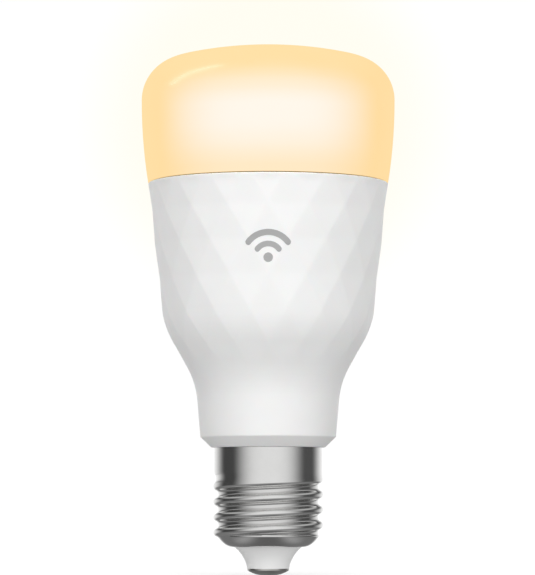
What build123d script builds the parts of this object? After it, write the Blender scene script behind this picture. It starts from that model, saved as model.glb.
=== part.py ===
from build123d import *
import os
from math import asin, atan2, degrees, sqrt

# Smart light bulb with an E27 screw cap. Millimetres. The lamp axis is Z, cap down and dome up,
# and the origin is the tip of the centre contact.

# ---- overall stations along the axis ----
apex_z = 125.9            # top of the dome
widest_z = 113.2          # where the dome is widest
dome_foot_z = 93.5        # lower edge of the dome's outer skin
rim_z = 93.3              # top edge of the housing
foot_z = 30.3             # underside of the housing collar
slip = 0.03               # radial gap of the dome's plug in its seal
touch_gap = 0.05          # gap left between pieces that are only pushed together

# ---- dome ----
dome_r = 30.25
dome_wall = 1.6
shoulder_radius = 10.3
side_radius = 124.0
seat_r = 26.9             # bore of the housing that takes the dome's plug
seal_wall = 0.25
seal_z = (90.2, 93.0)
plug_z = 90.3
plug_wall = 1.3

# ---- housing ----
wall = 1.8
rim_r = 28.66
shoulder = (24.75, 58.2)  # corner where the body turns in to the neck, before rounding
neck = (17.25, 46.16)     # corner where the neck turns in to the collar, before rounding
collar = (16.14, 32.8)
foot_r = 13.56
shoulder_round = 22.0
neck_round = 20.0
ledge_z = 89.9            # bottom of the seat for the plug
stub_r = 11.25            # tube that carries the screw shell
stub_bore = 9.3
stub_z = 12.0

# ---- E27 screw cap ----
thread_pitch = 25.4 / 7
crest_r = 13.03
root_r = 11.8
shell_wall = 0.35
skirt_r = 12.8
skirt_z = (22.6, 30.25)   # the step up from the root ends at the lower one
step_z = 21.9             # where that step begins
thread_start = 10.1       # crest height at the start of the thread, on the -X side
thread_turns = 3.0
shell_rim = (8.05, 6.7)   # lower opening of the shell
contact_r = 4.95
contact_z = 1.6           # top of the contact button, underside of the insulator
contact_flat_r = 1.6
rivet_r = 1.2
rivet_z = 5.4

# ---- LED deck, from the bottom up ----
deck_z = 88.0
deck_t = 1.2
cup_wall = 1.0
cup_z = 64.0
pad_t = 0.3
board_r = 24.2
board_t = 1.2
white_ring = 19.0
colour_ring = 12.0
white_count = 12          # of each white
colour_count = 6
led_size = (3.5, 2.8, 0.7)
screw_ring = 15.0
screw_angles = (0, 120, 240)
screw_r = 1.2
screw_head_r = 2.3
screw_length = 5.0

# ---- boards that stand on edge ----
driver_t = 1.2
driver_top = 84.0
radio_t = 0.8
radio_width = 15.0
radio_y = 5.0             # middle plane of the radio board
radio_z = (70.0, 99.0)
header_x = -9.0           # middle of the header row
header_count = 5
header_pitch = 2.54
pin_half = 0.32
header_block_z = (79.0, 81.5)

pad_z = deck_z + pad_t
led_z = pad_z + board_t


def turned(*corners, rounds=None):
    """Solid of revolution about Z from corners (radius, height), each with its rounding."""
    edge = FilletPolyline(*corners, radius=rounds, close=True) if rounds else Polyline(*corners, close=True)
    return revolve(Plane.XZ * make_face(edge), Axis.Z)


def column(radius, low, high, x=0, y=0):
    """Upright cylinder between two heights."""
    return Pos(x, y, low) * extrude(Circle(radius), high - low)


def block(size, low, x=0, y=0, edge=0):
    """Upright box standing on a height, with its vertical edges rounded."""
    outline = RectangleRounded(size[0], size[1], edge) if edge else Rectangle(size[0], size[1])
    return Pos(x, y, low) * extrude(outline, size[2])


def around(piece, count, first=0.0):
    """Copies of a piece, spaced evenly about Z."""
    return [Rot(0, 0, first + 360 * k / count) * piece for k in range(count)]


def wire(points, radius, start, end):
    """Round wire along a smooth path that leaves and arrives in the stated directions."""
    path = Spline(*points, tangents=(start, end))
    return sweep(Plane(origin=path @ 0, z_dir=path % 0) * Circle(radius), path)


# ---- housing and dome ----

def housing_r(z):
    """Outer radius of the housing's tapered body at a height."""
    return shoulder[0] + (rim_r - shoulder[0]) * (z - shoulder[1]) / (rim_z - shoulder[1])


def housing():
    inner_shoulder = (shoulder[0] - wall, shoulder[1] + 0.9)
    inner_neck = (neck[0] - wall, neck[1] + 0.9)
    corners = [
        (foot_r, foot_z), collar, neck, shoulder, (rim_r, rim_z),
        (seat_r, rim_z), (seat_r, ledge_z), (housing_r(ledge_z) - wall, ledge_z),
        inner_shoulder, inner_neck, (collar[0] - wall, collar[1] + wall),
        (stub_bore, collar[1]), (stub_bore, stub_z), (stub_r, stub_z), (stub_r, foot_z),
    ]
    rounds = [0.3, 0.5, neck_round, shoulder_round, 0.3, 0.2, 0, 0, shoulder_round, neck_round, 1, 0.5, 0.3, 0.3, 0]
    return turned(*corners, rounds=rounds)


def dome_skin(inset, foot):
    """Crown, shoulder and side arcs of the dome from the axis to the foot height, set in by a wall."""
    centre_r = dome_r - shoulder_radius
    drop = widest_z - apex_z
    crown_radius = (centre_r**2 + drop**2 - shoulder_radius**2) / (-2 * (drop + shoulder_radius))
    crown_z = apex_z - crown_radius
    meet = degrees(atan2(widest_z - crown_z, centre_r))
    fall = degrees(asin((foot - widest_z) / (side_radius - inset)))
    crown = CenterArc((0, crown_z), crown_radius - inset, 90, meet - 90)
    turn = CenterArc((centre_r, widest_z), shoulder_radius - inset, meet, -meet)
    side = CenterArc((dome_r - side_radius, widest_z), side_radius - inset, 0, fall)
    return crown, turn, side


def diffuser_dome():
    outer = dome_skin(0, dome_foot_z)
    inner = dome_skin(dome_wall, dome_foot_z + 2.5)
    plug_r = seat_r - seal_wall - slip
    foot = Polyline(
        outer[2] @ 1, (plug_r, dome_foot_z), (plug_r, plug_z), (plug_r - plug_wall, plug_z),
        (plug_r - plug_wall, dome_foot_z + 0.8), inner[2] @ 1,
    )
    axis = Line(inner[0] @ 0, outer[0] @ 0)
    return revolve(Plane.XZ * make_face(Curve() + [*outer, foot, *inner, axis]), Axis.Z)


def diffuser_seal():
    inside = seat_r - seal_wall
    return turned((seat_r, seal_z[0]), (seat_r, seal_z[1]), (inside, seal_z[1]), (inside, seal_z[0]))


# ---- screw cap ----

def thread_body(base, base_half, tip, tip_half, corner):
    """Helical ridge of rounded trapezoid section, on the thread's own pitch and phase."""
    path = Helix(thread_pitch, thread_pitch * thread_turns, root_r)
    section = FilletPolyline(
        (base - root_r, -base_half), (tip - root_r, -tip_half), (tip - root_r, tip_half), (base - root_r, base_half),
        radius=[0, corner, corner, 0], close=True,
    )
    place = Plane(origin=(root_r, 0, 0), x_dir=(1, 0, 0), z_dir=(0, -1, 0))
    ridge = sweep(place * make_face(section), path, is_frenet=True)
    return Pos(0, 0, thread_start) * Rot(0, 0, 180) * ridge


def screw_shell():
    opening_r, opening_z = shell_rim
    inner_root = root_r - shell_wall
    inner_skirt = skirt_r - shell_wall
    corners = [
        shell_rim, (root_r, 8.6), (root_r, step_z), (skirt_r, skirt_z[0]), (skirt_r, skirt_z[1]),
        (inner_skirt, skirt_z[1]), (inner_skirt, skirt_z[0] + 0.1), (inner_root, step_z + 0.2),
        (inner_root, 8.9), (opening_r, opening_z + shell_wall),
    ]
    tube = turned(*corners, rounds=[0.1, 1.2, 0.8, 0.6, 0.1, 0.1, 0.4, 0.6, 0.8, 0.1])
    ridge = thread_body(root_r - 0.25, 1.62, crest_r, 0.55, 0.5)
    groove = thread_body(inner_root - 0.25, 1.15, crest_r - shell_wall, 0.3, 0.25)
    return tube + ridge - groove


def cap_insulator():
    """Moulded cone that carries the contact and closes the lower end of the shell."""
    top_r, top_z = shell_rim[0] - touch_gap, shell_rim[1]
    cone = RadiusArc((contact_r, contact_z), (top_r, top_z), 8.3)
    bore = rivet_r + touch_gap
    rest = Polyline(
        (top_r, top_z), (top_r, top_z + 0.55), (10.5, 8.75), (10.5, 10.2), (9.3, 10.2),
        (3.6, 4.4), (bore, 4.4), (bore, contact_z), (contact_r, contact_z),
    )
    return revolve(Plane.XZ * make_face(Curve() + [cone, rest]), Axis.Z)


def centre_contact():
    edge_z = contact_z - 0.4
    face = RadiusArc((contact_flat_r, 0), (contact_r, edge_z), -7.0)
    rest = Polyline(
        (contact_r, edge_z), (contact_r, contact_z), (rivet_r, contact_z), (rivet_r, rivet_z),
        (0, rivet_z), (0, 0), (contact_flat_r, 0),
    )
    return revolve(Plane.XZ * make_face(Curve() + [face, rest]), Axis.Z)


def live_wire():
    points = [(0, 0, rivet_z), (0.5, -1.0, 11.0), (0, -driver_t / 2 - 0.6, 19.0)]
    return wire(points, 0.6, (0, 0, 1), (0, 0, 1))


def neutral_wire():
    reach = sqrt((root_r - shell_wall) ** 2 - 0.6**2) - touch_gap
    points = [(reach, 0, 11.1), (7.0, 0.8, 12.6), (5.0, driver_t / 2 + 0.6, 20.0)]
    return wire(points, 0.6, (-1, 0, 0), (0, 0, 1))


# ---- LED deck ----

def deck_openings(low, high, screw_hole):
    """Slots for the radio board and the header, and the screw holes."""
    height = high - low
    slots = block((radio_width + 1, radio_t + 1, height), low, y=radio_y, edge=0.5)
    row = header_pitch * header_count
    slots += block((row, 2.0, height), low, x=header_x, y=driver_t / 2 + pin_half, edge=0.5)
    for angle in screw_angles:
        slots += Rot(0, 0, angle) * column(screw_hole, low, high, x=screw_ring)
    return slots


def heat_sink_cup():
    skin = wall + 0.15
    low_r, high_r = housing_r(cup_z) - skin, housing_r(deck_z) - skin
    corners = [
        (0, deck_z), (high_r, deck_z), (low_r, cup_z), (low_r - cup_wall, cup_z),
        (high_r - cup_wall, deck_z - deck_t), (0, deck_z - deck_t),
    ]
    cup = turned(*corners, rounds=[0, 1.4, 0.3, 0.3, 0.6, 0])
    return cup - deck_openings(deck_z - deck_t - 1, deck_z + 1, screw_r + 0.02)


def thermal_pad():
    return column(board_r - 1.5, deck_z, pad_z) - deck_openings(deck_z - 1, pad_z + 1, screw_r + 0.4)


def led_board():
    board = column(board_r, pad_z, led_z)
    notch = column(1.5, pad_z - 1, led_z + 1, y=-board_r)
    return board - deck_openings(pad_z - 1, led_z + 1, screw_r + 0.2) - notch


def led_package(length, width, height, window):
    """Chip package with a round light window sunk in its top."""
    body = block((length, width, height), led_z)
    top = led_z + height
    return chamfer(body.edges().group_by(Axis.Z)[-1], 0.15) - column(window, top - 0.15, top + 1)


def white_leds(first):
    package = Pos(white_ring, 0, 0) * Rot(0, 0, 90) * led_package(*led_size, 1.1)
    return around(package, white_count, first)


def warm_white_leds():
    return white_leds(7.5)


def cool_white_leds():
    return white_leds(22.5)


def colour_leds():
    package = Pos(colour_ring, 0, 0) * led_package(4.2, 4.2, 1.1, 1.7)
    return around(package, colour_count, 30)


def led_board_screws():
    low = led_z - screw_length
    screw = column(screw_r, low, led_z) + column(screw_head_r, led_z, led_z + 1.5)
    screw = fillet(screw.edges().group_by(Axis.Z)[-1], 0.7)
    slot_z = led_z + 1.0
    for angle in (0, 90):
        screw -= Rot(0, 0, angle) * block((2.6, 0.7, 1), slot_z)
    return [Rot(0, 0, angle) * Pos(screw_ring, 0, 0) * screw for angle in screw_angles]


# ---- driver ----

def driver_board():
    half = [(8.0, 16.0), (8.0, 33.5), (13.0, 36.0), (13.0, 46.5), (19.5, 60.0), (19.5, driver_top)]
    outline = half + [(-x, z) for x, z in reversed(half)]
    face = Plane.XZ * make_face(Polyline(*outline, close=True))
    return extrude(face, driver_t / 2, both=True)


def on_front(depth):
    """Middle of a component that stands this deep on the board's -Y side."""
    return -driver_t / 2 - depth / 2


def on_back(depth):
    return driver_t / 2 + depth / 2


def capacitor_can(diameter, length, low, x, y):
    """Electrolytic capacitor standing upright, with its crimp groove and rounded end."""
    can = column(diameter / 2, low, low + length, x, y)
    can = fillet(can.edges().group_by(Axis.Z)[0], 0.5)
    can = fillet(can.edges().group_by(Axis.Z)[-1], 0.5)
    groove = Pos(x, y, low + 1.8) * Torus(diameter / 2 + 0.35, 0.6)
    return can - groove


def input_capacitor():
    return capacitor_can(10.0, 16.0, 37.0, -2.5, on_front(10.0))


def output_capacitor():
    return capacitor_can(8.0, 12.5, 66.0, 13.0, on_front(8.0))


transformer_x, transformer_z = -3.0, 65.0
core_size = (14.0, 7.0, 13.0)


def transformer_core():
    """Ferrite E-core pair: an upright frame with a round centre leg."""
    width, depth, height = core_size
    low = transformer_z
    y = on_front(depth + 2.0)
    frame = block((width, depth, height), low, transformer_x, y)
    window = block((width - 4.4, depth + 2, height - 4.4), low + 2.2, transformer_x, y)
    return frame - window + column(1.8, low, low + height, transformer_x, y)


def transformer_bobbin():
    _, depth, height = core_size
    y = on_front(depth + 2.0)
    low, high = transformer_z + 2.3, transformer_z + height - 2.3
    tube = column(2.4, low, high, transformer_x, y)
    flange = column(4.4, low, low + 0.6, transformer_x, y)
    bobbin = tube + flange + Pos(0, 0, high - low - 0.6) * flange
    return bobbin - column(1.9, low - 1, high + 1, transformer_x, y)


def transformer_winding():
    """Wound copper with its rounded layers, between the bobbin's flanges."""
    y = on_front(core_size[1] + 2.0)
    low, high = transformer_z + 2.95, transformer_z + core_size[2] - 2.95
    coil = column(4.1, low, high, transformer_x, y)
    coil = fillet(coil.edges().group_by(Axis.Z)[0], 0.4)
    return coil - column(2.45, low - 1, high + 1, transformer_x, y)


def emi_inductor():
    """Drum choke: ferrite bobbin with its coil between two flanges."""
    radius, height, low = 3.5, 9.0, 54.5
    x, y = 5.5, on_front(2 * radius)
    drum = column(radius, low, low + height, x, y)
    neck_ring = column(radius + 1, low + 1.2, low + height - 1.2, x, y) - column(3.1, low, low + height, x, y)
    return drum - neck_ring


def film_capacitor():
    depth = 5.0
    body = block((12.0, depth, 9.0), 47.5, 0, on_back(depth))
    return fillet(body.edges(), 0.5)


def varistor():
    thickness, radius = 3.2, 3.6
    disc = Cylinder(radius, thickness)
    disc = fillet(disc.edges(), 1.0)
    return Pos(6.5, on_back(thickness), 41.0) * Rot(90, 0, 0) * disc


def fusible_resistor():
    """Axial resistor body with its two thicker end caps."""
    radius, length, low = 1.6, 9.0, 22.5
    x, y = -3.0, on_front(2 * radius + 0.4)
    body = column(radius, low, low + length, x, y)
    for end in (low, low + length - 1.8):
        body += column(radius + 0.2, end, end + 1.8, x, y)
    return fillet(body.edges().group_by(Axis.Z)[-1] + body.edges().group_by(Axis.Z)[0], 0.4)


def bridge_rectifier():
    body = block((4.8, 2.4, 3.9), 36.5, -5.5, on_back(2.4))
    return chamfer(body.edges().group_by(Axis.Y)[-1], 0.3)


def driver_ic():
    body = block((3.9, 1.5, 4.9), 66.0, -10.0, on_back(1.5))
    return chamfer(body.edges().group_by(Axis.Y)[-1], 0.25)


# ---- radio ----

def radio_board():
    height = radio_z[1] - radio_z[0]
    return block((radio_width, radio_t, height), radio_z[0], y=radio_y)


def radio_shield_can():
    can = block((12.0, 1.8, 10.5), radio_z[0] + 2.0, y=radio_y + radio_t / 2 + 0.9)
    can = fillet(can.edges().group_by(Axis.Y)[-1], 0.4)
    return can


def antenna_trace():
    """Meandering copper strip on the part of the radio board that stands above the LED board."""
    strip, rise, count = 0.6, 5.0, 6
    step = 2 * strip + 0.5
    base = led_z + 2.5
    left = -step * (count - 1) / 2
    line = [(left + step * k, base + rise * ((k + side) % 2)) for k in range(count) for side in (0, 1)]
    bars = []
    for (x0, z0), (x1, z1) in zip(line, line[1:]):
        size = (abs(x1 - x0) + strip, 0.05, abs(z1 - z0) + strip)
        bars.append(block(size, min(z0, z1) - strip / 2, (x0 + x1) / 2, radio_y - radio_t / 2 - 0.025))
    whole = bars[0]
    for bar in bars[1:]:
        whole += bar
    return whole


def header_places():
    first = header_x - header_pitch * (header_count - 1) / 2
    return [first + header_pitch * k for k in range(header_count)]


def header_pins():
    """Square pins that carry power from the driver board up to the LED board."""
    low, high = header_block_z[0] - 4.0, led_z + 1.2
    y = driver_t / 2 + pin_half
    return [block((2 * pin_half, 2 * pin_half, high - low), low, x, y) for x in header_places()]


def header_block():
    length = header_pitch * header_count
    y = driver_t / 2 + 1.25
    low, high = header_block_z
    body = block((length, 2.5, high - low), low, header_x, y, edge=0.3)
    for x in header_places():
        body -= block((2 * pin_half, 2 * pin_half + 2, high - low + 2), low - 1, x, driver_t / 2 + pin_half - 1)
    return body


makers = [
    housing, diffuser_dome, diffuser_seal, screw_shell, cap_insulator, centre_contact, live_wire, neutral_wire,
    heat_sink_cup, thermal_pad, led_board, warm_white_leds, cool_white_leds, colour_leds, led_board_screws,
    driver_board, input_capacitor, output_capacitor, transformer_core, transformer_bobbin, transformer_winding,
    emi_inductor, film_capacitor, varistor, fusible_resistor, bridge_rectifier, driver_ic,
    radio_board, radio_shield_can, antenna_trace, header_pins, header_block,
]

os.makedirs("parts", exist_ok=True)
for make in makers:
    made = make()
    whole = Compound(children=made) if isinstance(made, list) else made
    export_step(whole, f"parts/{make.__name__}.step")
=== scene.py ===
import math

import bmesh
import bpy
from mathutils import Matrix, Vector


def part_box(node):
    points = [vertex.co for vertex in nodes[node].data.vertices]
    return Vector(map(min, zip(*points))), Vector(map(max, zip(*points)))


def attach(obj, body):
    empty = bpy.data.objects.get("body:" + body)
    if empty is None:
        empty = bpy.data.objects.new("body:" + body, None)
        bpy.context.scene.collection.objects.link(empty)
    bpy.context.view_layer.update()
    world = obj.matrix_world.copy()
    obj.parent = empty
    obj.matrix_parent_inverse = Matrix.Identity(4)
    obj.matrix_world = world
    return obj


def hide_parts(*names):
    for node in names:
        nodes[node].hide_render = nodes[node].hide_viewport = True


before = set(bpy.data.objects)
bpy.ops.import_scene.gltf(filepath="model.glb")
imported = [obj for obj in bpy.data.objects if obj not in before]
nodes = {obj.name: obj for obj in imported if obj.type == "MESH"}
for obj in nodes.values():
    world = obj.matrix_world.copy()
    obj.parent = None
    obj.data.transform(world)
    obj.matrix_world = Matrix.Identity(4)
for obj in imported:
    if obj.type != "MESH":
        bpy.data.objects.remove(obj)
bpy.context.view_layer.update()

# Smart light bulb: looks. Metres, in the CAD frame: lamp axis on Z, contact tip at the origin.

MM = 0.001
weld = 1e-3 * MM              # points nearer than this are one
white = (1, 1, 1, 1)

# ---- camera ----
camera_distance = 0.782       # from the lamp axis
camera_height = 0.0176
view_centre = 0.0684          # height on the lamp axis that it looks at
view_height = 0.13715         # height seen at the lamp axis
view_shift_right = 0.00016
sensor_height = 36.0          # mm, on the picture's long side

# ---- light: levels are relative to the white backdrop ----
# Edges are ranges over which a part of the room fades in. The azimuth's measure is 1 towards the camera and
# -1 away from it, the elevation's is its sine.
backdrop_level = 1.02
flag_level = 0.03             # of the dark flags at both sides
room_front, room_back = 0.965, 1.1
room_front_edge, room_back_edge = (0.08, 0.98), (-0.35, -1.05)
room_lift_edge = (0.16, 0.4)
front_lift, back_lift = 1.3, 1.2      # extra brightness of the room above the horizon

# what polished metal mirrors: strips in front and behind, flags at the sides, ceiling, floor
strip_front, strip_back = 0.8, 0.94
strip_front_edge, strip_back_edge = (0.12, 1.04), (-0.28, -1.05)
strip_back_height = (0.4, 0.08)
strip_flag = 0.06
flag_lean = 0.07              # how far the right flag stands behind the left one
flag_gain = 0.3               # and how much brighter it is for that
ceiling_level = 0.48
ceiling_edge = (0.35, 0.62)
ceiling_rise = 0.45           # how much higher it starts over the front strip
ground_front, ground_side = 0.3, 0.19
ground_edge = (-0.35, -0.2)
ground_white = (-0.45, -0.1)  # the floor behind shows white only at shallow angles
ground_below = (0.13, 0.4)    # straight below the middle and the sides
ground_below_edge = (-0.6, -0.95)
ground_below_spread = 0.3

# floor, and its bounce on matt surfaces as (distance as a share of floor_reach, level)
floor_half_width = 6.0
floor_drop = 0.2 * MM         # below the contact's tip
floor_reflectance = 0.4
floor_lift = 0.57
floor_reach = 0.25
floor_bounce = [(0.0, 0.54), (0.03, 0.6), (0.06, 0.63), (0.14, 0.5), (0.8, 0.78)]

softbox_watts = 5.0
softbox_size = (1.08, 0.11)
softbox_distance = 1.2        # from the dome's shoulder
softbox_aim = (-0.77, -0.03, 0.6)
softbox_length = (0.49, -0.48, 0.73)  # direction of its long side
softbox_target = 115.6 * MM   # height on the lamp axis that it faces

# ---- glow of the dome ----
glow_edge = (0.955, 0.685, 0.325)
glow_centre = (0.97, 0.87, 0.775)
glow_band = [                 # hot core against height, foot to top
    (0.0, 0.4), (0.07, 0.45), (0.18, 0.71), (0.29, 0.91), (0.39, 1.0), (0.5, 0.97),
    (0.58, 0.72), (0.67, 0.43), (0.74, 0.17), (0.8, 0.03), (1.0, 0.0),
]
glow_facing = (0.46, 1.0)     # how squarely the skin faces the viewer, from edge to hot
glow_crown = (24 * MM, 6 * MM)        # hot spot on top, from its edge to its middle
plug_height = 3.2 * MM        # of the dome's unlit plug
plug_edge = (27.6 * MM, 28.2 * MM)    # radii between the plug and the lit skin
plug_top = (5.2 * MM, 7.2 * MM)       # heights over the plug's foot between the plug and the lit inside
plug_colour = (0.5, 0.42, 0.32)
skin_colour = (0.05, 0.045, 0.04)
halo_centre = 108 * MM        # painted faint cream glow round the dome in front of the backdrop
halo_reach = (27 * MM, 52 * MM)
halo_colour = (1.0, 0.967, 0.875)

# ---- diamond relief of the housing ----
diamond_count = 18            # diamonds around
diamond_rise = 8.1 * MM       # half the height of a diamond
diamond_phase = 70.15 * MM    # height of a row of corners that has one on the front
relief_share = 0.8            # 1 would make each half diamond flat from corner to corner
relief_fade_top = (93.2 * MM, 91.4 * MM)
relief_fade_foot = (48.0 * MM, 54.0 * MM)
housing_columns = 432
crease_degrees = 40           # sharper edges stay crisp

# ---- printed symbol on the front ----
mark_centre = 76.6 * MM
mark_foot = -2.9 * MM         # centre of the dot and the arcs, from the symbol's centre
mark_lift = 0.035 * MM        # of the ink over the housing
mark_sink = 0.1 * MM          # of its underside into the housing
mark_step = 0.25 * MM         # length of a face
mark_rings = 6                # rows of faces across a band
mark_bands = [                # inner and outer radius, half turn
    (0.0, 1.1 * MM, math.pi), (2.5 * MM, 3.8 * MM, 0.92), (5.1 * MM, 6.5 * MM, 0.92)]

# ---- screw shell ----
thread_pitch = 25.4 / 7 * MM
crest_r = 13.03 * MM
root_r = 11.8 * MM
skirt_r = 12.8 * MM
shell_wall = 0.3 * MM
first_crest = 10.1 * MM       # crest height on the -X side
ridge_start = (-0.4, -0.08)   # turns over which the ridge rises at the lower end
groove_end = (3.16, 2.86)     # turns over which the groove fades out under the skirt
skirt_blend = (21.5 * MM, 24.5 * MM)
opening_r = 8.0 * MM          # lower opening
roll_r, roll_spread, roll_power = 8.05, 2.68, 0.435   # mm: radius of the rolled-in rim against height
bead = (9.1 * MM, 9.75 * MM)  # the rim's bead falls back to the root between these heights
bead_blend = 0.12 * MM
rim_drop = 0.1 * MM           # how much lower the rim ends than in the CAD
rim_height, rim_rows = 1.6 * MM, 16   # finer rows at the rim
shell_rows = 190
shell_columns = 288
dome_step, dome_columns = 0.8 * MM, 256


# ---------------------------------------------------------------- node helpers

def add(tree, kind, inputs=None, **settings):
    """New shader node with its settings, and inputs given as values or sockets."""
    made = tree.nodes.new("ShaderNode" + kind)
    for key, value in settings.items():
        setattr(made, key, value)
    for key, value in (inputs or {}).items():
        if isinstance(value, bpy.types.NodeSocket):
            tree.links.new(value, made.inputs[key])
        else:
            made.inputs[key].default_value = value
    return made


def calc(tree, operation, *values, clamp=False):
    return add(tree, "Math", dict(enumerate(values)), operation=operation, use_clamp=clamp).outputs[0]


def vector(tree, operation, *values):
    return add(tree, "VectorMath", dict(enumerate(values)), operation=operation).outputs[0]


def length(tree, value):
    return add(tree, "VectorMath", {0: value}, operation="LENGTH").outputs["Value"]


def dot(tree, first, second):
    return add(tree, "VectorMath", {0: first, 1: second}, operation="DOT_PRODUCT").outputs["Value"]


def scaled(tree, value, factor):
    return add(tree, "VectorMath", {0: value, 3: factor}, operation="SCALE").outputs[0]


def turned_to(tree, value, kind, start, end):
    """A POINT or VECTOR of one space, WORLD or CAMERA, in the other."""
    made = add(tree, "VectorTransform", {0: value}, vector_type=kind, convert_from=start, convert_to=end)
    return made.outputs[0]


def blend_colour(tree, share, first, second):
    rgba = {0: share, 6: rgb(first), 7: rgb(second)}
    return add(tree, "Mix", rgba, data_type="RGBA").outputs[2]


def blend_level(tree, share, first, second):
    return add(tree, "Mix", {0: share, 2: first, 3: second}, data_type="FLOAT").outputs[0]


def rgb(colour):
    if isinstance(colour, bpy.types.NodeSocket):
        return colour
    return (*colour[:3], 1.0)


def rescale(tree, value, low, high, to_low=0.0, to_high=1.0, smooth=False):
    kind = "SMOOTHSTEP" if smooth else "LINEAR"
    inputs = {0: value, 1: low, 2: high, 3: to_low, 4: to_high}
    return add(tree, "MapRange", inputs, interpolation_type=kind, clamp=True).outputs[0]


def curve(tree, value, stops):
    """Grey value along a line of (place, value) stops, with smooth joins."""
    ramp = add(tree, "ValToRGB", {0: value})
    ramp.color_ramp.interpolation = "CARDINAL"
    line = ramp.color_ramp.elements
    while len(line) > 1:
        line.remove(line[-1])
    line[0].position = stops[0][0]
    line[0].color = rgb((stops[0][1],) * 3)
    for place, level in stops[1:]:
        line.new(place).color = rgb((level,) * 3)
    return ramp.outputs[0]


def millimetres(tree, stretch=(1, 1, 1)):
    """The point being shaded, in millimetres, stretched per axis."""
    place = add(tree, "TexCoord").outputs["Object"]
    return vector(tree, "MULTIPLY", place, tuple(s / MM for s in stretch))


def noise(tree, per_mm, detail, stretch=(1, 1, 1)):
    inputs = {"Vector": millimetres(tree, stretch), "Scale": per_mm, "Detail": detail, "Roughness": 0.55}
    return add(tree, "TexNoise", inputs).outputs["Fac"]


def patches(tree, per_mm, detail, low, high, stretch=(1, 1, 1)):
    """Noise spread from its usual range of 0.3 to 0.7 over a range of values."""
    return rescale(tree, noise(tree, per_mm, detail, stretch), 0.3, 0.7, low, high)


def bump(tree, height, depth_mm):
    return add(tree, "Bump", {"Height": height, "Distance": depth_mm * MM, "Strength": 1.0}).outputs["Normal"]


def new_material(name):
    """Material with only its output node."""
    material = bpy.data.materials.new(name)
    material.use_nodes = True
    tree = material.node_tree
    for old in list(tree.nodes):
        if old.bl_idname != "ShaderNodeOutputMaterial":
            tree.nodes.remove(old)
    return material, tree, tree.nodes[0]


def principled(tree, output, **inputs):
    shader = add(tree, "BsdfPrincipled", {k.replace("_", " "): v for k, v in inputs.items()})
    tree.links.new(shader.outputs[0], output.inputs["Surface"])


# ---------------------------------------------------------------- materials

def moulded(name, colour, roughness, *, grain_mm=0.02, sheen=0.5):
    """Moulded plastic: faint cloudiness, fine spark-eroded grain and handling smears."""
    material, tree, output = new_material(name)
    darker, lighter = (tuple(min(1, c * share) for c in colour) for share in (0.92, 1.04))
    base = blend_colour(tree, noise(tree, 0.12, 4), darker, lighter)
    gloss = patches(tree, 0.5, 5, roughness - 0.06, roughness + 0.06, (1, 1, 0.35))
    grain = bump(tree, noise(tree, 6.0, 2), grain_mm)
    principled(tree, output, Base_Color=base, Roughness=gloss, Normal=grain, IOR=1.5,
               Specular_IOR_Level=sheen)
    return material


def metal(name, colour, roughness, *, brushing=(1, 1, 1), stain=0.12, per_mm=2.0):
    """Metal with drawn lines along one direction, cloudy tarnish and duller patches."""
    material, tree, output = new_material(name)
    tarnish = rescale(tree, noise(tree, 0.35, 6), 0.42, 0.72)
    base = blend_colour(tree, tarnish, colour, tuple(c * (1 - stain) for c in colour))
    lines = noise(tree, per_mm, 4, brushing)
    gloss = calc(tree, "MULTIPLY_ADD", lines, 0.14, roughness - 0.05)
    gloss = calc(tree, "MULTIPLY_ADD", tarnish, 0.1, gloss, clamp=True)
    principled(tree, output, Base_Color=base, Metallic=1.0, Roughness=gloss, Normal=bump(tree, lines, 0.004))
    return material


def circuit_board(name, mask, copper):
    """Solder mask over copper tracks that show as slightly lighter, raised bands, with glass weave below."""
    material, tree, output = new_material(name)
    cell_mm = 3.52
    cells = add(tree, "TexVoronoi", {"Vector": millimetres(tree), "Scale": 1 / cell_mm, "Randomness": 0.8},
                feature="DISTANCE_TO_EDGE", distance="CHEBYCHEV").outputs["Distance"]
    track = rescale(tree, cells, 0.05, 0.09)
    weave = noise(tree, 3.5, 2, (1, 1, 0.2))
    dark = tuple(c * 0.72 for c in mask)
    base = blend_colour(tree, track, dark, mask)
    base = blend_colour(tree, rescale(tree, weave, 0.3, 0.8, 0, 0.25), base, copper)
    gloss = rescale(tree, weave, 0.3, 0.7, 0.28, 0.42)
    principled(tree, output, Base_Color=base, Roughness=gloss, Normal=bump(tree, track, 0.03))
    return material


def wound(name, colour, turn_mm, metallic=0.7):
    """Fine wire or tape wound round an upright axis, seen as even ridges with painted shade between them."""
    material, tree, output = new_material(name)
    height = add(tree, "SeparateXYZ", {0: millimetres(tree)}).outputs[2]
    turns = calc(tree, "SINE", calc(tree, "MULTIPLY", height, 2 * math.pi / turn_mm))
    # painted shade: the base colour darkens in the grooves between the turns
    shade = rescale(tree, turns, -1, 1, 0.55, 1.0)
    uneven = patches(tree, 0.8, 3, 0.8, 1.05)
    base = blend_colour(tree, calc(tree, "MULTIPLY", shade, uneven, clamp=True), (0, 0, 0), colour)
    principled(tree, output, Base_Color=base, Roughness=0.35, Metallic=metallic,
               Normal=bump(tree, turns, turn_mm * 0.25))
    return material


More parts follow.
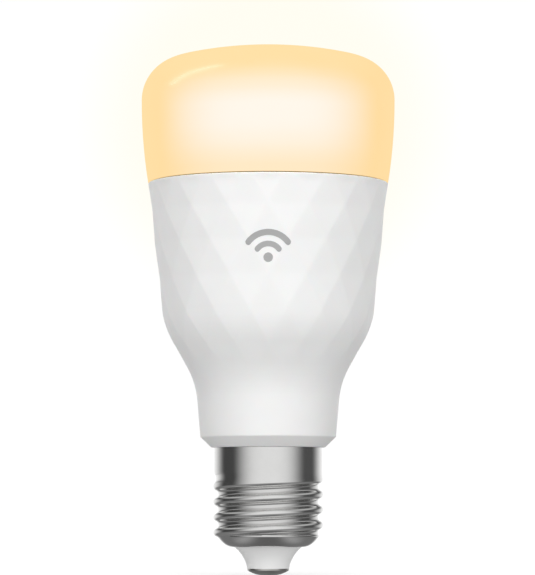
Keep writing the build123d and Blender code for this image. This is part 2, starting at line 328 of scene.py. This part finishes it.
def lit_opal():
    """Opal polycarbonate lit from inside: cream where it faces the viewer, amber at its edges and its foot.
    Its plug is not lit."""
    material, tree, output = new_material("lit_opal")
    foot, top = (edge.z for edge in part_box("diffuser_dome"))
    facing = calc(tree, "SUBTRACT", 1.0, add(tree, "LayerWeight", {"Blend": 0.5}).outputs["Facing"])
    towards = rescale(tree, facing, *glow_facing, smooth=True)
    place = add(tree, "TexCoord").outputs["Object"]
    height = add(tree, "SeparateXYZ", {0: place}).outputs[2]
    band = curve(tree, rescale(tree, height, foot + plug_height, top), glow_band)
    across = length(tree, vector(tree, "MULTIPLY", place, (1, 1, 0)))
    crown = rescale(tree, across, *glow_crown, smooth=True)
    hot = calc(tree, "MULTIPLY", towards, calc(tree, "MAXIMUM", band, crown))
    hot = calc(tree, "ADD", hot, patches(tree, 0.06, 3, -0.02, 0.02), clamp=True)
    glow = blend_colour(tree, hot, glow_edge, glow_centre)
    inside = rescale(tree, height, foot + plug_top[0], foot + plug_top[1])
    skin = calc(tree, "MAXIMUM", rescale(tree, across, *plug_edge), inside)
    grain = bump(tree, noise(tree, 4.0, 2), 0.004)
    smear = patches(tree, 0.4, 5, 0.17, 0.25)
    base = blend_colour(tree, skin, plug_colour, skin_colour)
    body = add(tree, "BsdfPrincipled", {
        "Base Color": base, "Roughness": smear, "Normal": grain, "Specular IOR Level": 0.0,
        "Emission Color": glow, "Emission Strength": skin})
    polish = add(tree, "BsdfAnisotropic", {"Color": rgb((0.02,) * 3), "Roughness": smear, "Normal": grain})
    both = add(tree, "AddShader", {0: body.outputs[0], 1: polish.outputs[0]})
    tree.links.new(both.outputs[0], output.inputs["Surface"])
    return material


def housing_plastic():
    """White heat-spreading plastic with a fine satin grain and faint smears."""
    material, tree, output = new_material("housing_plastic")
    base = blend_colour(tree, noise(tree, 0.1, 4), (0.87, 0.87, 0.865), (0.93, 0.93, 0.925))
    gloss = patches(tree, 0.45, 5, 0.36, 0.5, (1, 1, 0.3))
    grain = bump(tree, noise(tree, 7.0, 2), 0.006)
    principled(tree, output, Base_Color=base, Roughness=gloss, Normal=grain, IOR=1.5,
               Subsurface_Weight=0.08, Subsurface_Scale=1.5 * MM)
    return material


def nickel_shell():
    """Nickel plate rolled to a thread: lines run around, painted shade makes the roots darker than the
    crests, and cloudy tarnish lies in patches.
    """
    material, tree, output = new_material("nickel_shell")
    across = length(tree, vector(tree, "MULTIPLY", add(tree, "TexCoord").outputs["Object"], (1, 1, 0)))
    crest = rescale(tree, across, root_r, crest_r, smooth=True)
    tarnish = rescale(tree, noise(tree, 0.5, 5), 0.4, 0.75)
    # painted shade: the base colour darkens from the crests down into the thread roots
    base = blend_colour(tree, crest, (0.76, 0.757, 0.75), (0.82, 0.818, 0.81))
    base = blend_colour(tree, calc(tree, "MULTIPLY", tarnish, 0.08), base, (0.6, 0.595, 0.58))
    lines = noise(tree, 1.2, 4, (0.25, 0.25, 6))
    gloss = calc(tree, "MULTIPLY_ADD", lines, 0.04, 0.09)
    gloss = calc(tree, "MULTIPLY_ADD", tarnish, 0.03, gloss)
    principled(tree, output, Base_Color=base, Metallic=1.0, Roughness=gloss, Normal=bump(tree, lines, 0.0015))
    return material


# ---------------------------------------------------------------- mesh helpers

def ring_profile(node):
    """Outline of a turned CAD node as ordered (radius, height) pairs: its mesh cut by XZ, on the +X side."""
    work = bmesh.new()
    work.from_mesh(nodes[node].data)
    everything = [*work.verts, *work.edges, *work.faces]
    cut = bmesh.ops.bisect_plane(work, geom=everything, dist=weld, plane_co=(0, 0, 0), plane_no=(0, 1, 0))
    near = {}
    for edge in cut["geom_cut"]:
        if isinstance(edge, bmesh.types.BMEdge) and min(v.co.x for v in edge.verts) > -weld:
            a, b = ((round(v.co.x, 7), round(v.co.z, 7)) for v in edge.verts)
            near.setdefault(a, []).append(b)
            near.setdefault(b, []).append(a)
    work.free()
    ends = [k for k in near if len(near[k]) == 1]
    line = [max(ends or near, key=lambda k: k[1])]
    seen = set(line)
    while True:
        onward = [k for k in near[line[-1]] if k not in seen]
        if not onward:
            return line
        line.append(max(onward))
        seen.add(line[-1])


def refine(line, step, closed):
    """The same line with no segment longer than a step."""
    ends = line[1:] + line[:1] if closed else line[1:]
    out = []
    for (r0, z0), (r1, z1) in zip(line, ends):
        parts = max(1, math.ceil(math.hypot(r1 - r0, z1 - z0) / step))
        out += [(r0 + (r1 - r0) * k / parts, z0 + (z1 - z0) * k / parts) for k in range(parts)]
    return out if closed else out + [line[-1]]


def turned_mesh(name, line, columns, closed, shape=None):
    """Mesh turned about Z from (radius, height) rows. shape(row, angle) may return a new radius."""
    points, rows = [], []
    for row, (r, z) in enumerate(line):
        if r < weld:
            rows.append([len(points)] * columns)
            points.append((0, 0, z))
            continue
        rows.append(range(len(points), len(points) + columns))
        for k in range(columns):
            angle = 2 * math.pi * k / columns
            radius = shape(row, angle) if shape else r
            points.append((radius * math.cos(angle), radius * math.sin(angle), z))
    faces = []
    pairs = list(zip(rows, rows[1:])) + ([(rows[-1], rows[0])] if closed else [])
    for low, high in pairs:
        for k in range(columns):
            n = (k + 1) % columns
            face = [low[k], low[n], high[n], high[k]]
            faces.append([i for j, i in enumerate(face) if i not in face[:j]])
    mesh = bpy.data.meshes.new(name)
    mesh.from_pydata(points, [], faces)
    mesh.validate()
    piece = bpy.data.objects.new(name, mesh)
    bpy.context.scene.collection.objects.link(piece)
    finish_surface(piece)
    return piece


def finish_surface(piece):
    """Turns all faces of a closed piece to look out, and shades it smooth but for its sharp edges."""
    work = bmesh.new()
    work.from_mesh(piece.data)
    bmesh.ops.recalc_face_normals(work, faces=work.faces)
    work.to_mesh(piece.data)
    work.free()
    piece.data.shade_smooth()
    piece.data.set_sharp_from_angle(angle=math.radians(crease_degrees))


def dress(piece, material):
    piece.data.materials.clear()
    piece.data.materials.append(material)


def stands_for(piece, body, node):
    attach(piece, body)
    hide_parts(node)


def ease(value, low, high):
    """0 below low, 1 above high, smooth between; low may be the larger."""
    t = min(1.0, max(0.0, (value - low) / (high - low)))
    return t * t * (3 - 2 * t)


# ---------------------------------------------------------------- housing

def diamond_depth(angle, height):
    """Share of the radius taken off at a point by the diamond relief, 0 on the diamonds' corners."""
    half_step = math.pi / diamond_count
    u = (angle + math.pi / 2) / half_step
    v = (height - diamond_phase) / diamond_rise
    # corners lie where u + v is even, so diamonds are unit squares along the diagonals u + v and u - v
    rising = 2 * math.floor((u + v) / 2) + 1
    falling = 2 * math.floor((u - v) / 2) + 1
    du = u - (rising + falling) / 2
    dv = v - (rising - falling) / 2
    chord = math.cos(half_step)
    full = (chord + (1 - chord) * abs(dv)) / math.cos(half_step * du)
    return 1 - full


def faceted_radius(plain, angle, z):
    """Outer radius of the housing with its relief, where the smooth housing has the plain radius."""
    share = relief_share * ease(z, *relief_fade_foot) * ease(z, *relief_fade_top)
    return plain * (1 - share * diamond_depth(angle, z))


def make_housing():
    """Returns the housing's outer side as (height, radius) pairs from low to high."""
    line = refine(ring_profile("housing"), diamond_rise / 12, closed=True)
    outer = outer_rows(line)

    def shape(row, angle):
        r, z = line[row]
        return faceted_radius(r, angle, z) if row in outer else r

    piece = turned_mesh("faceted_housing", line, housing_columns, True, shape)
    dress(piece, housing_plastic())
    stands_for(piece, "lamp_body", "housing")
    return sorted((line[row][1], line[row][0]) for row in outer)


def make_mark(wall):
    """Printed wireless symbol, a dot under two arcs, as a thin skin of ink on the front of the housing."""
    def on_wall(across, up, lift):
        z = mark_centre + up
        over = next(k for k, (height, _) in enumerate(wall) if height > z)
        (z0, r0), (z1, r1) = wall[over - 1], wall[over]
        plain = r0 + (r1 - r0) * (z - z0) / (z1 - z0)
        angle = across / plain - math.pi / 2
        radius = faceted_radius(plain, angle, z) + lift
        return (radius * math.cos(angle), radius * math.sin(angle), z)

    work = bmesh.new()
    for inner, outer, half_turn in mark_bands:
        half_width = (outer - inner) / 2
        steps = max(24, math.ceil(2 * half_turn * outer / mark_step))
        outline = []
        for ring in range(mark_rings + 1):
            side = -math.cos(math.pi * ring / mark_rings)
            radius = (inner + outer) / 2 + side * half_width
            reach = half_turn
            if half_turn < math.pi and radius > 0:
                reach += half_width * math.sqrt(max(0.0, 1 - side ** 2)) / radius
            turns = [reach * (2 * k / steps - 1) for k in range(steps + 1)]
            outline.append([(radius * math.sin(a), radius * math.cos(a) + mark_foot) for a in turns])
        sheets = []
        for lift in (mark_lift, -mark_sink):
            sheets.append([[work.verts.new(on_wall(x, y, lift)) for x, y in row] for row in outline])
        for sheet in sheets:
            for row, above in zip(sheet, sheet[1:]):
                for k in range(steps):
                    work.faces.new((row[k], row[k + 1], above[k + 1], above[k]))
        edges = [list(zip(sheets[0][-1], sheets[1][-1]))]
        if inner > 0:
            edges.append(list(zip(sheets[0][0], sheets[1][0])))
            edges += [[(top[k], bottom[k]) for top, bottom in zip(*sheets)] for k in (0, -1)]
        for edge in edges:
            for (a, b), (c, d) in zip(edge, edge[1:]):
                work.faces.new((a, b, d, c))
    bmesh.ops.remove_doubles(work, verts=work.verts, dist=weld)
    bmesh.ops.dissolve_degenerate(work, edges=work.edges, dist=weld)
    mesh = bpy.data.meshes.new("wireless_symbol")
    work.to_mesh(mesh)
    work.free()
    piece = bpy.data.objects.new("wireless_symbol", mesh)
    bpy.context.scene.collection.objects.link(piece)
    finish_surface(piece)
    dress(piece, moulded("grey_ink", (0.41, 0.41, 0.41), 0.45, grain_mm=0.004))
    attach(piece, "lamp_body")


def outer_rows(line):
    """Rows of a closed outline that lie on its outer side: the largest radius at their height."""
    near, clear = 0.5 * MM, 0.6 * MM
    found = set()
    for row, (r, z) in enumerate(line):
        if not any(abs(y - z) < near and q > r + clear for q, y in line):
            found.add(row)
    return found


def make_dome():
    line = refine(ring_profile("diffuser_dome"), dome_step, closed=False)
    piece = turned_mesh("opal_dome", line, dome_columns, False)
    dress(piece, lit_opal())
    stands_for(piece, "diffuser", "diffuser_dome")
    return piece


# ---------------------------------------------------------------- screw shell

def thread_wave(past):
    """1 on a crest and 0 in a root, joined by two equal arcs. past: turns along the axis from a crest."""
    half, depth = thread_pitch / 2, crest_r - root_r
    bend = (half ** 2 + depth ** 2) / (4 * depth)
    off = abs(past - round(past)) * thread_pitch
    if off < half / 2:
        return 1 - (bend - math.sqrt(bend ** 2 - off ** 2)) / depth
    return (bend - math.sqrt(bend ** 2 - (half - off) ** 2)) / depth


def shell_radius(angle, z, low):
    """Outer radius of the shell: rolled-in lower rim with a bead, right-hand thread, plain skirt."""
    turn = (angle - math.pi) / (2 * math.pi) % 1.0
    along = (z - first_crest) / thread_pitch - turn
    below = math.floor(along) + turn
    nearest = round(along) + turn
    wave = thread_wave(along)
    full = skirt_r + (crest_r - skirt_r) * ease(z, skirt_blend[1], skirt_blend[0])
    ridge = wave * ease(nearest, *ridge_start) if below < 2 else 1 - (1 - wave) * ease(below, *groove_end)
    threaded = root_r + (full - root_r) * ridge
    rolled = (roll_r + roll_spread * max(0.0, (z - low) / MM) ** roll_power) * MM
    rim = rolled + (root_r - rolled) * ease(z, *bead) if rolled > root_r else rolled
    return blunt_max(threaded, rim, bead_blend) if z > bead[0] else rolled


def blunt_max(a, b, blend):
    """The larger of two values, with a rounded change-over."""
    share = min(1.0, max(0.0, 0.5 + 0.5 * (a - b) / blend))
    return b + (a - b) * share + blend * share * (1 - share) / 2


def make_screw_shell():
    low, high = (edge.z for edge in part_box("screw_shell"))
    low -= rim_drop
    rim = [low + rim_height * (k / rim_rows) ** 2 for k in range(rim_rows)]
    even = [low + (high - low) * k / shell_rows for k in range(shell_rows + 1)]
    heights = rim + [z for z in even if z > rim[-1] + 0.1 * MM]
    skin = [(z, 0.0) for z in heights] + [(z, shell_wall) for z in reversed(heights)]
    line = [(skirt_r - inset, max(z, low + inset)) for z, inset in skin]

    def shape(row, angle):
        z, inset = skin[row]
        return max(opening_r, shell_radius(angle, z, low) - inset)

    piece = turned_mesh("rolled_screw_shell", line, shell_columns, True, shape)
    dress(piece, nickel_shell())
    stands_for(piece, "lamp_body", "screw_shell")


# ---------------------------------------------------------------- stage

def studio_axes(tree, direction):
    """A direction's parts to the camera's right and up, and how far its azimuth is towards the camera.
    The studio stands level and turns with the camera's azimuth."""
    ahead = turned_to(tree, (0, 0, 1), "VECTOR", "CAMERA", "WORLD")
    level = vector(tree, "NORMALIZE", vector(tree, "MULTIPLY", ahead, (1, 1, 0)))
    rightward = dot(tree, direction, vector(tree, "CROSS_PRODUCT", level, (0, 0, 1)))
    upward = add(tree, "SeparateXYZ", {0: direction}).outputs[2]
    flat = vector(tree, "NORMALIZE", vector(tree, "MULTIPLY", direction, (1, 1, 0)))
    return rightward, upward, calc(tree, "MULTIPLY", dot(tree, flat, level), -1.0)


def polished_view(tree, direction):
    """What polished metal mirrors: strips at the horizon, bright in front and behind and dark at the sides,
    under a dimmer ceiling and over a darker floor that is white only behind."""
    right, up, towards_camera = studio_axes(tree, direction)
    lean = rescale(tree, right, 0.0, 1.0, 0.0, flag_lean)
    ahead = rescale(tree, calc(tree, "ADD", towards_camera, lean), *strip_front_edge, smooth=True)
    behind = rescale(tree, towards_camera, *strip_back_edge, 0.0, strip_back, smooth=True)
    low = rescale(tree, calc(tree, "ABSOLUTE", up), *strip_back_height, smooth=True)
    behind = calc(tree, "MULTIPLY", behind, low)
    flag = calc(tree, "MULTIPLY_ADD", lean, flag_gain, strip_flag)
    strip = calc(tree, "ADD", calc(tree, "MULTIPLY_ADD", ahead, strip_front, flag), behind)
    raised = calc(tree, "MULTIPLY_ADD", ahead, -ceiling_rise, up)
    above = blend_level(tree, rescale(tree, raised, *ceiling_edge, smooth=True), strip, ceiling_level)
    ground = calc(tree, "MULTIPLY_ADD", ahead, ground_front - ground_side, ground_side)
    shallow = rescale(tree, up, *ground_white, smooth=True)
    ground = calc(tree, "MULTIPLY_ADD", behind, shallow, ground)
    beside = calc(tree, "POWER", right, 2.0)
    middle = rescale(tree, beside, 0.0, ground_below_spread, *ground_below, smooth=True)
    below = blend_level(tree, rescale(tree, up, *ground_below_edge, smooth=True), ground, middle)
    return blend_level(tree, rescale(tree, up, *ground_edge), below, above)


def halo(tree, direction):
    """Colour of the backdrop along a camera ray: painted cream glow where the ray passes near the lit dome,
    else white.
    """
    centre = turned_to(tree, (0, 0, halo_centre), "POINT", "WORLD", "CAMERA")
    seen = turned_to(tree, direction, "VECTOR", "WORLD", "CAMERA")
    beside = length(tree, vector(tree, "CROSS_PRODUCT", centre, seen))
    return blend_colour(tree, rescale(tree, beside, *halo_reach, smooth=True), halo_colour, (1, 1, 1))


def studio_world():
    """White backdrop for the camera, with a painted cream glow round the dome; matt surfaces see a soft room
    that is brighter above the horizon.
    """
    world = bpy.data.worlds.new("studio")
    bpy.context.scene.world = world
    world.use_nodes = True
    world.cycles.sampling_method = "NONE"
    tree = world.node_tree
    tree.nodes.clear()
    ray = add(tree, "LightPath").outputs
    direction = add(tree, "TexCoord").outputs["Generated"]
    _, up, towards_camera = studio_axes(tree, direction)
    front = rescale(tree, towards_camera, *room_front_edge, 0.0, room_front, smooth=True)
    back = rescale(tree, towards_camera, *room_back_edge, 0.0, room_back, smooth=True)
    upward = rescale(tree, up, *room_lift_edge, smooth=True)
    front = calc(tree, "MULTIPLY", front, calc(tree, "MULTIPLY_ADD", upward, front_lift, 1.0))
    back = calc(tree, "MULTIPLY", back, calc(tree, "MULTIPLY_ADD", upward, back_lift, 1.0))
    room = calc(tree, "ADD", calc(tree, "ADD", front, back), flag_level)
    matt = add(tree, "Background", {"Color": white, "Strength": room})
    gloss = add(tree, "Background", {"Color": white, "Strength": polished_view(tree, direction)})
    seen = add(tree, "Background", {"Color": halo(tree, direction), "Strength": backdrop_level})
    lit = add(tree, "MixShader", {0: ray["Is Glossy Ray"], 1: matt.outputs[0], 2: gloss.outputs[0]})
    pick = add(tree, "MixShader", {0: ray["Is Camera Ray"], 1: lit.outputs[0], 2: seen.outputs[0]})
    end = add(tree, "OutputWorld")
    tree.links.new(pick.outputs[0], end.inputs["Surface"])


def studio_floor():
    """Pale floor that melts into the backdrop, takes a faint shadow, carries the dome's painted cream glow
    and is clear from below.
    """
    mesh = bpy.data.meshes.new("floor")
    signs = ((-1, -1), (1, -1), (1, 1), (-1, 1))
    corners = [(x * floor_half_width, y * floor_half_width, -floor_drop) for x, y in signs]
    mesh.from_pydata(corners, [], [(0, 1, 2, 3)])
    floor = bpy.data.objects.new("floor", mesh)
    bpy.context.scene.collection.objects.link(floor)
    material, tree, output = new_material("pale_floor")
    ray = add(tree, "LightPath").outputs
    view = add(tree, "NewGeometry").outputs
    onward = scaled(tree, view["Incoming"], -1.0)
    # painted glow: the floor is tinted cream near the dome, as the backdrop is
    painted_glow_tint = halo(tree, onward)
    matte = add(tree, "BsdfDiffuse", {"Color": scaled(tree, painted_glow_tint, floor_reflectance)})
    lift = add(tree, "Emission", {"Color": painted_glow_tint, "Strength": floor_lift})
    shown = add(tree, "AddShader", {0: matte.outputs[0], 1: lift.outputs[0]})
    away = length(tree, add(tree, "TexCoord").outputs["Object"])
    spread = curve(tree, rescale(tree, away, 0.0, floor_reach), floor_bounce)
    bounce = add(tree, "Emission", {"Color": white, "Strength": spread})
    mirror = add(tree, "Emission", {"Color": white, "Strength": polished_view(tree, onward)})
    unseen = add(tree, "MixShader", {0: ray["Is Glossy Ray"], 1: bounce.outputs[0], 2: mirror.outputs[0]})
    pick = add(tree, "MixShader", {0: ray["Is Camera Ray"], 1: unseen.outputs[0], 2: shown.outputs[0]})
    clear = add(tree, "BsdfTransparent")
    side = add(tree, "MixShader", {0: view["Backfacing"], 1: pick.outputs[0], 2: clear.outputs[0]})
    tree.links.new(side.outputs[0], output.inputs["Surface"])
    mesh.materials.append(material)


def studio_softbox(camera, dome):
    """Soft light up on the camera's left that only the dome takes, for its faint highlight."""
    data = bpy.data.lights.new("softbox", "AREA")
    data.shape = "RECTANGLE"
    data.size, data.size_y = softbox_size
    data.energy = softbox_watts
    lamp = bpy.data.objects.new("softbox", data)
    bpy.context.scene.collection.objects.link(lamp)
    aim = Vector(softbox_aim).normalized()
    across = aim.cross(Vector(softbox_length)).normalized()
    lamp.location = Vector((0, 0, softbox_target)) + aim * softbox_distance
    lamp.rotation_euler = Matrix((across.cross(aim), across, aim)).transposed().to_euler()
    bpy.context.view_layer.update()
    lamp.parent = camera
    lamp.matrix_parent_inverse = camera.matrix_world.inverted()
    takers = bpy.data.collections.new("softbox_takers")
    takers.objects.link(dome)
    lamp.light_linking.receiver_collection = takers


def studio_camera():
    data = bpy.data.cameras.new("camera")
    camera = bpy.data.objects.new("camera", data)
    bpy.context.scene.collection.objects.link(camera)
    camera.location = (0, -camera_distance, camera_height)
    sight = Vector((-view_shift_right, camera_distance, view_centre - camera_height))
    camera.rotation_euler = sight.to_track_quat("-Z", "Y").to_euler()
    data.sensor_width = sensor_height
    data.lens = sensor_height * sight.length / view_height
    data.clip_end = 50            # m, past the far edge of the floor
    bpy.context.scene.camera = camera
    return camera


# ---------------------------------------------------------------- build

make_mark(make_housing())
opal_dome = make_dome()
make_screw_shell()

finishes = {
    "diffuser_seal": moulded("seal_silicone", (0.55, 0.5, 0.42), 0.7),
    "cap_insulator": moulded("insulator_moulding", (0.95, 0.95, 0.945), 0.42, sheen=0.3),
    "centre_contact": metal("contact_plate", (0.62, 0.61, 0.59), 0.3, per_mm=1.5, stain=0.2),
    "live_wire": moulded("wire_red", (0.6, 0.05, 0.04), 0.4),
    "neutral_wire": moulded("wire_white", (0.82, 0.82, 0.8), 0.4),
    "heat_sink_cup": metal("drawn_aluminium", (0.76, 0.77, 0.79), 0.34, brushing=(1, 1, 0.1)),
    "thermal_pad": moulded("thermal_silicone", (0.4, 0.48, 0.57), 0.75),
    "led_board": moulded("white_mask", (0.9, 0.91, 0.9), 0.32),
    "warm_white_leds": moulded("warm_package", (0.95, 0.8, 0.5), 0.4),
    "cool_white_leds": moulded("cool_package", (0.93, 0.9, 0.6), 0.4),
    "colour_leds": moulded("colour_package", (0.9, 0.9, 0.9), 0.35),
    "led_board_screws": metal("zinc_screws", (0.72, 0.72, 0.73), 0.28),
    "driver_board": circuit_board("green_board", (0.04, 0.23, 0.1), (0.2, 0.35, 0.12)),
    "input_capacitor": moulded("can_sleeve", (0.04, 0.04, 0.05), 0.3),
    "output_capacitor": moulded("can_sleeve_green", (0.03, 0.09, 0.06), 0.3),
    "transformer_core": moulded("ferrite", (0.09, 0.09, 0.1), 0.55, grain_mm=0.05),
    "transformer_bobbin": moulded("bobbin_plastic", (0.12, 0.11, 0.1), 0.45),
    "transformer_winding": wound("winding_tape", (0.85, 0.62, 0.08), 1.4, metallic=0.0),
    "emi_inductor": wound("choke_wire", (0.72, 0.3, 0.12), 0.35),
    "film_capacitor": moulded("film_box", (0.78, 0.64, 0.1), 0.35),
    "varistor": moulded("varistor_coat", (0.04, 0.18, 0.45), 0.3),
    "fusible_resistor": moulded("resistor_coat", (0.2, 0.36, 0.34), 0.5),
    "bridge_rectifier": moulded("chip_epoxy", (0.03, 0.03, 0.035), 0.5),
    "driver_ic": moulded("chip_epoxy_ic", (0.035, 0.035, 0.04), 0.5),
    "radio_board": circuit_board("blue_board", (0.02, 0.08, 0.25), (0.1, 0.2, 0.35)),
    "radio_shield_can": metal("tinned_can", (0.74, 0.73, 0.7), 0.25),
    "antenna_trace": metal("antenna_gold", (0.85, 0.62, 0.26), 0.25),
    "header_pins": metal("pin_gold", (0.85, 0.62, 0.26), 0.25),
    "header_block": moulded("header_plastic", (0.05, 0.05, 0.05), 0.5),
}
for node, finish in finishes.items():
    dress(nodes[node], finish)

studio_world()
studio_floor()
studio_softbox(studio_camera(), opal_dome)

scene = bpy.context.scene
scene.view_settings.view_transform = "Standard"
scene.view_settings.look = "None"
